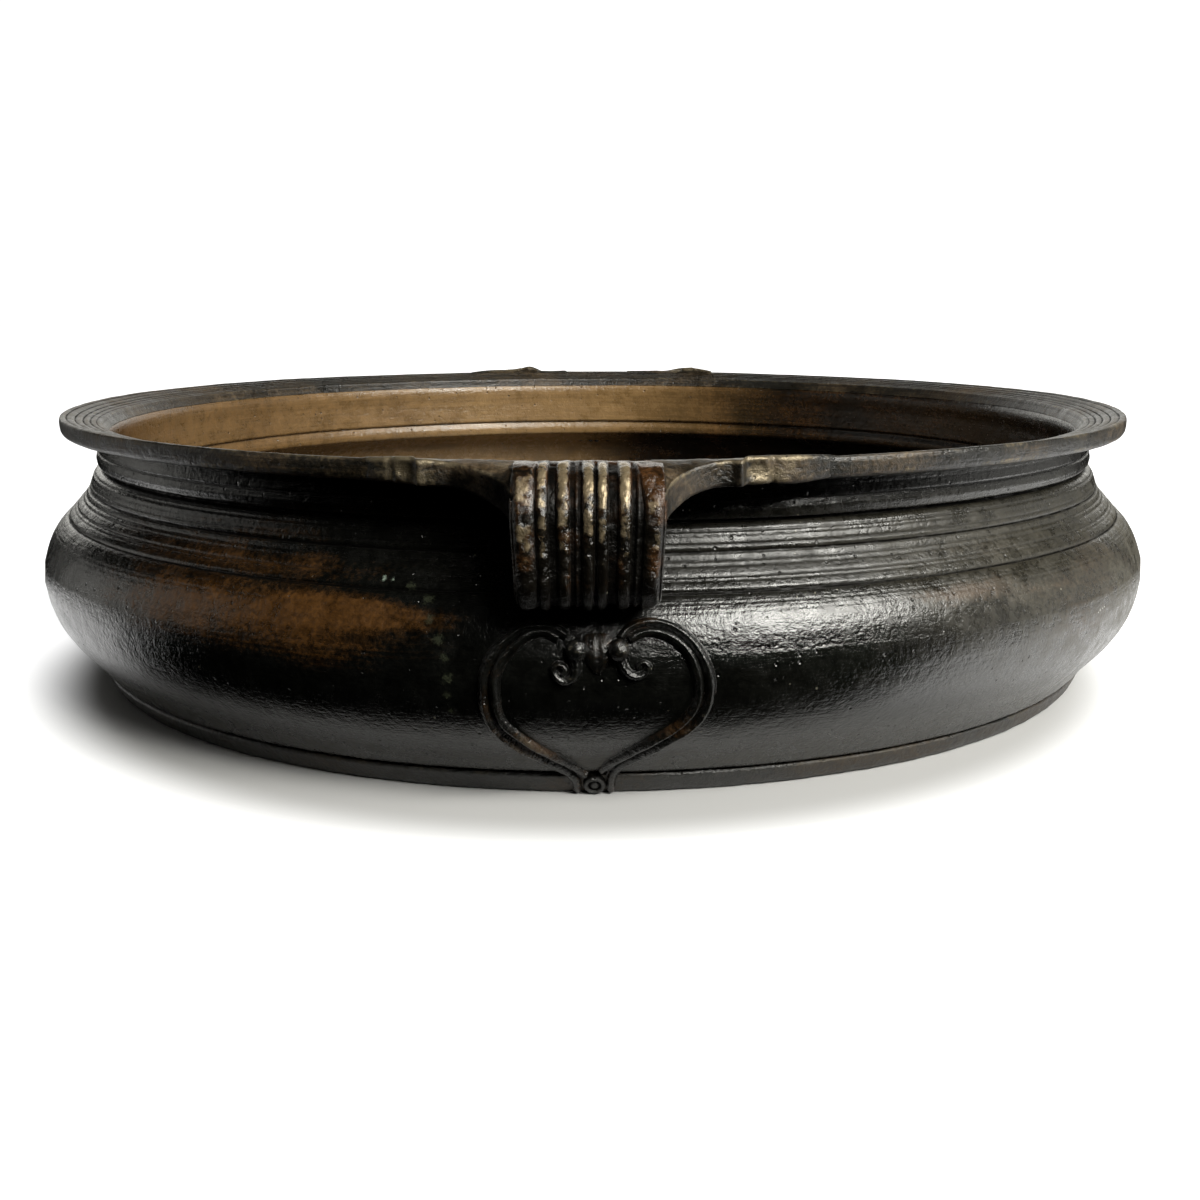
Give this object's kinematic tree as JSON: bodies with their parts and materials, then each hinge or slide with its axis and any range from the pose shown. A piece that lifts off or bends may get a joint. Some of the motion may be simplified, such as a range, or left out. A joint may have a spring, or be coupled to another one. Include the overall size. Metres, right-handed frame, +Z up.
{
  "type": "urli bowl",
  "caption": "Wide shallow cast brass urli bowl with flanged rim, foot ring, fluted strap handles and heart-shaped cord relief.",
  "frame": {"origin": "centre of the foot ring's underside, on the surface that the bowl stands on", "axes": "+Z up along the bowl's axis; the two handles lie on the Y axis, the front handle on -Y; +X to the right when facing the front handle"},
  "size_m": [0.5222, 0.5516, 0.1203],
  "materials": {
    "body_brass": "dark brown to black patina, semi-gloss",
    "rim_brass": "worn grey-brown patina",
    "foot_brass": "dark matt patina",
    "strap_brass": "glossy dark bronze with worn golden high spots",
    "relief_brass": "dark patina with handling polish on the high spots"
  },
  "bodies": {
    "root": {"bowl_floor": "body_brass", "belly_wall": "body_brass", "neck_band": "body_brass", "rim_flange": "rim_brass", "foot_ring": "foot_brass", "front_handle_strap": "strap_brass", "front_handle_wing_left": "rim_brass", "front_heart_outer_cord_left": "relief_brass", "front_heart_inner_cord_left": "relief_brass", "front_heart_scroll_left": "relief_brass", "front_heart_bead_left": "relief_brass", "front_handle_wing_right": "rim_brass", "front_heart_outer_cord_right": "relief_brass", "front_heart_inner_cord_right": "relief_brass", "front_heart_scroll_right": "relief_brass", "front_heart_bead_right": "relief_brass", "front_heart_bridge": "relief_brass", "front_foot_boss": "foot_brass", "rear_handle_strap": "strap_brass", "rear_handle_wing_left": "rim_brass", "rear_heart_outer_cord_left": "relief_brass", "rear_heart_inner_cord_left": "relief_brass", "rear_heart_scroll_left": "relief_brass", "rear_heart_bead_left": "relief_brass", "rear_handle_wing_right": "rim_brass", "rear_heart_outer_cord_right": "relief_brass", "rear_heart_inner_cord_right": "relief_brass", "rear_heart_scroll_right": "relief_brass", "rear_heart_bead_right": "relief_brass", "rear_heart_bridge": "relief_brass", "rear_foot_boss": "foot_brass"}
  },
  "joints": []
}
